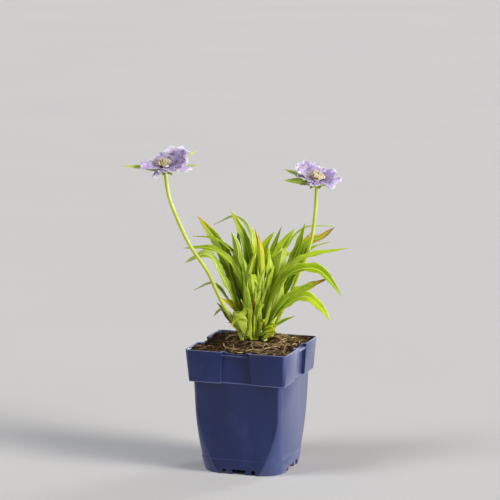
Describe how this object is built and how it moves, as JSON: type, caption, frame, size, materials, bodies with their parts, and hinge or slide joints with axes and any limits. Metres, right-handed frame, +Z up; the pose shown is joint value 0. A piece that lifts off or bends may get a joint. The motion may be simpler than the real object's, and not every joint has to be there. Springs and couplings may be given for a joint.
{
  "type": "potted flowering plant",
  "caption": "Young pincushion flower in a square nursery pot: a clump of narrow leaves and tall bare stems that carry flat lavender flower heads with pointed green bracts.",
  "frame": {"origin": "middle of the pot's underside, on the surface that the pot stands on", "axes": "+Z up; X and Y square to the pot's sides, with -Y towards the pot side that faces the viewer in the picture"},
  "size_m": [0.2056, 0.1425, 0.3232],
  "materials": {
    "pot": "moulded polypropylene, satin",
    "soil": "peat soil with fine pale roots, dull",
    "leaf": "living leaf, slightly waxy",
    "stem": "living stem, finely hairy",
    "bract": "living leaf, dull",
    "petal": "petal, thin and matt",
    "floret": "small tubular florets, matt"
  },
  "bodies": {
    "root": {"pot": "pot", "soil": "soil", "leaves_left": "leaf", "leaves_front": "leaf", "leaves_right": "leaf", "leaves_back_right": "leaf", "leaves_back": "leaf", "stem_left": "stem", "stem_right": "stem", "bracts_left": "bract", "bracts_right": "bract", "rays_left": "petal", "rays_right": "petal", "florets_left": "floret", "florets_right": "floret"}
  },
  "joints": []
}
